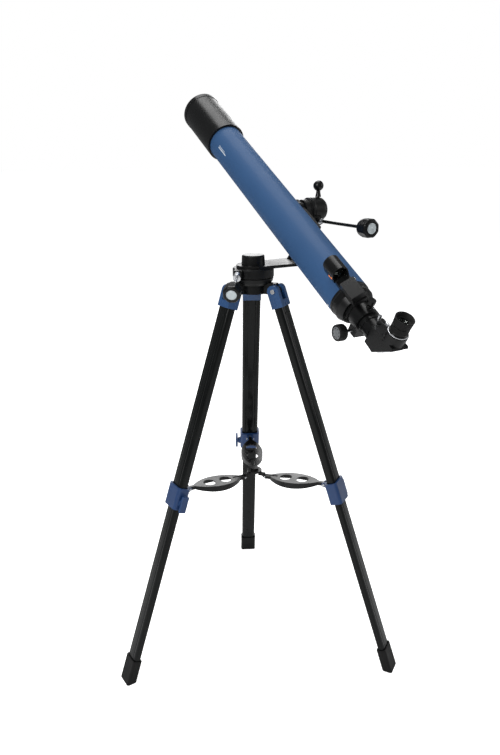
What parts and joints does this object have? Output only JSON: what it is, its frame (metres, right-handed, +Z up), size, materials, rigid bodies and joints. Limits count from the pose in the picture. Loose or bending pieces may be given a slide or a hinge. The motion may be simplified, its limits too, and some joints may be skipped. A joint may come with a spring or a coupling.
{
  "type": "refractor telescope on an altitude-azimuth tripod",
  "caption": "Small refracting telescope with star diagonal, red-dot finder and slow-motion controls on a single-arm altitude-azimuth mount and a folding tripod.",
  "frame": {"origin": "middle of the footprint box, on the ground under the feet", "axes": "+Z up, +Y the way the tube points in plan, +X from the tube to the mount arm along the altitude axis"},
  "size_m": [0.5446, 0.7761, 1.2006],
  "materials": {
    "tube_paint": "satin blue paint",
    "yoke_blue": "moulded blue",
    "collar_blue": "moulded dark blue",
    "rubber": "matt",
    "leg_paint": "black satin paint",
    "lower_leg_paint": "black satin paint",
    "steel": "bright plated",
    "brass": "turned",
    "glass": "coated",
    "mirror": "polished",
    "cast_black": "black semi-gloss coat",
    "satin_black": "satin",
    "moulded_black": "moulded black"
  },
  "bodies": {
    "head": {"tripod_head": "cast_black", "azimuth_spindle": "steel", "azimuth_wheel": "brass", "leg_pins": "steel"},
    "turntable": {"mount_arm": "cast_black", "azimuth_cap": "moulded_black", "altitude_drum": "cast_black", "arm_screws": "steel"},
    "azimuth_worm": {"azimuth_worm": "steel"},
    "azimuth_control": {"azimuth_rod": "steel", "azimuth_knob": "moulded_black"},
    "altitude_control": {"altitude_worm": "steel", "altitude_knob": "moulded_black"},
    "altitude_lock": {"altitude_lock": "moulded_black"},
    "tube": {"altitude_axle": "brass", "cradle": "cast_black", "main_tube": "tube_paint", "dew_shield": "satin_black", "objective_cell": "satin_black", "objective_lens": "glass", "lens_ring": "satin_black", "rear_cell": "moulded_black", "focuser_housing": "moulded_black", "finder_base": "moulded_black", "finder_body": "moulded_black"},
    "pinion": {"pinion_shaft": "steel", "focus_knobs": "moulded_black"},
    "draw_lock": {"draw_lock": "moulded_black"},
    "drawtube": {"drawtube": "satin_black", "eyepiece_holder": "moulded_black"},
    "holder_screw": {"holder_screw": "steel"},
    "diagonal": {"diagonal_body": "moulded_black", "diagonal_mirror": "mirror"},
    "diagonal_screw": {"diagonal_screw": "steel"},
    "eyepiece": {"eyepiece_body": "moulded_black", "eyepiece_lenses": "glass", "eyecup": "rubber"},
    "finder_dial": {"finder_dial": "moulded_black"},
    "spreader_hub": {"spreader_hub": "moulded_black"},
    "leg_1": {"leg_yoke_1": "yoke_blue", "upper_leg_1": "leg_paint", "leg_collar_1": "collar_blue"},
    "leg_lock_1": {"leg_lock_1": "collar_blue"},
    "lower_leg_1": {"lower_leg_1": "lower_leg_paint", "foot_1": "rubber"},
    "spreader_arm_1": {"spreader_arm_1": "moulded_black"},
    "leg_2": {"leg_yoke_2": "yoke_blue", "upper_leg_2": "leg_paint", "leg_collar_2": "collar_blue"},
    "leg_lock_2": {"leg_lock_2": "collar_blue"},
    "lower_leg_2": {"lower_leg_2": "lower_leg_paint", "foot_2": "rubber"},
    "spreader_arm_2": {"spreader_arm_2": "moulded_black"},
    "leg_3": {"leg_yoke_3": "yoke_blue", "upper_leg_3": "leg_paint", "leg_collar_3": "collar_blue"},
    "leg_lock_3": {"leg_lock_3": "collar_blue"},
    "lower_leg_3": {"lower_leg_3": "lower_leg_paint", "foot_3": "rubber"},
    "spreader_arm_3": {"spreader_arm_3": "moulded_black"}
  },
  "joints": [
    {"name": "azimuth", "type": "hinge", "parent": "head", "child": "turntable", "pos_m": [0.07086, 0.01189, 0.8368], "axis": [0, 0, 1], "continuous": true},
    {"name": "azimuth_worm_turn", "type": "hinge", "parent": "turntable", "child": "azimuth_worm", "pos_m": [0.05178, 0.02627, 0.8464], "axis": [-0.6018, -0.7986, 0], "continuous": true},
    {"name": "azimuth_knob_turn", "type": "hinge", "parent": "turntable", "child": "azimuth_control", "pos_m": [0.02048, -0.01525, 0.8464], "axis": [-0.5724, -0.7595, -0.309], "continuous": true},
    {"name": "altitude", "type": "hinge", "parent": "turntable", "child": "tube", "pos_m": [0.19556, 0.01189, 0.961], "axis": [1, 0, 0], "range_deg": [-44, 18]},
    {"name": "altitude_knob_turn", "type": "hinge", "parent": "turntable", "child": "altitude_control", "pos_m": [0.20756, -0.00811, 0.9411], "axis": [0, -1, 0], "range_deg": [-1320, 540]},
    {"name": "altitude_lock_turn", "type": "hinge", "parent": "turntable", "child": "altitude_lock", "pos_m": [0.22356, 0.01189, 0.981], "axis": [0, 0, 1], "range_deg": [0, 180]},
    {"name": "focus_turn", "type": "hinge", "parent": "tube", "child": "pinion", "pos_m": [0.13356, -0.2573, 0.77883], "axis": [1, 0, 0], "range_deg": [0, 572.96]},
    {"name": "focus_travel", "type": "slide", "parent": "tube", "child": "drawtube", "axis": [0, -0.8704, -0.4924], "range_m": [0, 0.06]},
    {"name": "draw_lock_turn", "type": "hinge", "parent": "tube", "child": "draw_lock", "pos_m": [0.13356, -0.28117, 0.82507], "axis": [0, -0.4924, 0.8704], "range_deg": [0, 360]},
    {"name": "holder_screw_turn", "type": "hinge", "parent": "drawtube", "child": "holder_screw", "pos_m": [0.13356, -0.30519, 0.80458], "axis": [0, -0.4924, 0.8704], "range_deg": [0, 360]},
    {"name": "diagonal_slide", "type": "slide", "parent": "drawtube", "child": "diagonal", "axis": [0, -0.8704, -0.4924], "range_m": [0, 0.04]},
    {"name": "diagonal_screw_turn", "type": "hinge", "parent": "diagonal", "child": "diagonal_screw", "pos_m": [0.13356, -0.33536, 0.799], "axis": [0, 0.8704, 0.4924], "range_deg": [0, 360]},
    {"name": "eyepiece_slide", "type": "slide", "parent": "diagonal", "child": "eyepiece", "axis": [0, -0.4924, 0.8704], "range_m": [0, 0.05]},
    {"name": "finder_dial_turn", "type": "hinge", "parent": "tube", "child": "finder_dial", "pos_m": [0.11371, -0.28737, 0.85634], "axis": [0.8387, -0.2682, 0.474], "range_deg": [0, 270]},
    {"name": "leg_fold", "type": "hinge", "parent": "head", "child": "leg_1", "pos_m": [0.0999, -0.03052, 0.8128], "axis": [0.8251, 0.565, 0], "range_deg": [0, 14]},
    {"name": "spreader_arm_1_pivot", "type": "hinge", "parent": "leg_1", "child": "spreader_arm_1", "pos_m": [0.16421, -0.12445, 0.41], "axis": [0.8251, 0.565, 0], "range_deg": [-82.2, 0]},
    {"name": "leg_1_slide", "type": "slide", "parent": "leg_1", "child": "lower_leg_1", "axis": [-0.182, 0.2658, 0.9467], "range_m": [0, 0.32]},
    {"name": "leg_lock_1_turn", "type": "hinge", "parent": "leg_1", "child": "leg_lock_1", "pos_m": [0.20015, -0.13445, 0.39437], "axis": [0.8251, 0.565, 0], "range_deg": [0, 360]},
    {"name": "leg_fold_2", "type": "hinge", "parent": "head", "child": "leg_2", "pos_m": [0.09307, 0.05824, 0.8128], "axis": [-0.9018, 0.4321, 0], "range_deg": [0, 14]},
    {"name": "spreader_arm_2_pivot", "type": "hinge", "parent": "leg_2", "child": "spreader_arm_2", "pos_m": [0.14226, 0.16091, 0.41], "axis": [-0.9018, 0.4321, 0], "range_deg": [-82.2, 0]},
    {"name": "leg_2_slide", "type": "slide", "parent": "leg_2", "child": "lower_leg_2", "axis": [-0.1392, -0.2905, 0.9467], "range_m": [0, 0.32]},
    {"name": "leg_lock_2_turn", "type": "hinge", "parent": "leg_2", "child": "leg_lock_2", "pos_m": [0.13295, 0.19703, 0.39437], "axis": [-0.9018, 0.4321, 0], "range_deg": [0, 360]},
    {"name": "leg_fold_3", "type": "hinge", "parent": "head", "child": "leg_3", "pos_m": [0.01961, 0.00795, 0.8128], "axis": [0.0767, -0.9971, 0], "range_deg": [0, 14]},
    {"name": "spreader_arm_3_pivot", "type": "hinge", "parent": "leg_3", "child": "spreader_arm_3", "pos_m": [-0.09389, -0.00079, 0.41], "axis": [0.0767, -0.9971, 0], "range_deg": [-82.2, 0]},
    {"name": "leg_3_slide", "type": "slide", "parent": "leg_3", "child": "lower_leg_3", "axis": [0.3212, 0.0247, 0.9467], "range_m": [0, 0.32]},
    {"name": "leg_lock_3_turn", "type": "hinge", "parent": "leg_3", "child": "leg_lock_3", "pos_m": [-0.12052, -0.02691, 0.39437], "axis": [0.0767, -0.9971, 0], "range_deg": [0, 360]},
    {"name": "spreader_travel", "type": "slide", "parent": "head", "child": "spreader_hub", "axis": [0, 0, -1], "range_m": [0, 0.13854]}
  ],
  "couplings": [
    {"joint": "azimuth_worm_turn", "follows": "azimuth", "ratio": 36},
    {"joint": "azimuth_knob_turn", "follows": "azimuth", "ratio": 36},
    {"joint": "altitude_knob_turn", "follows": "altitude", "ratio": 30},
    {"joint": "focus_turn", "follows": "focus_travel", "rad_per_m": 166.67},
    {"joint": "spreader_arm_1_pivot", "follows": "leg_fold", "ratio": -5.8706},
    {"joint": "leg_fold_2", "follows": "leg_fold", "ratio": 1},
    {"joint": "spreader_arm_2_pivot", "follows": "leg_fold", "ratio": -5.8706},
    {"joint": "leg_fold_3", "follows": "leg_fold", "ratio": 1},
    {"joint": "spreader_arm_3_pivot", "follows": "leg_fold", "ratio": -5.8706},
    {"joint": "spreader_travel", "follows": "leg_fold", "m_per_rad": 0.56694}
  ]
}
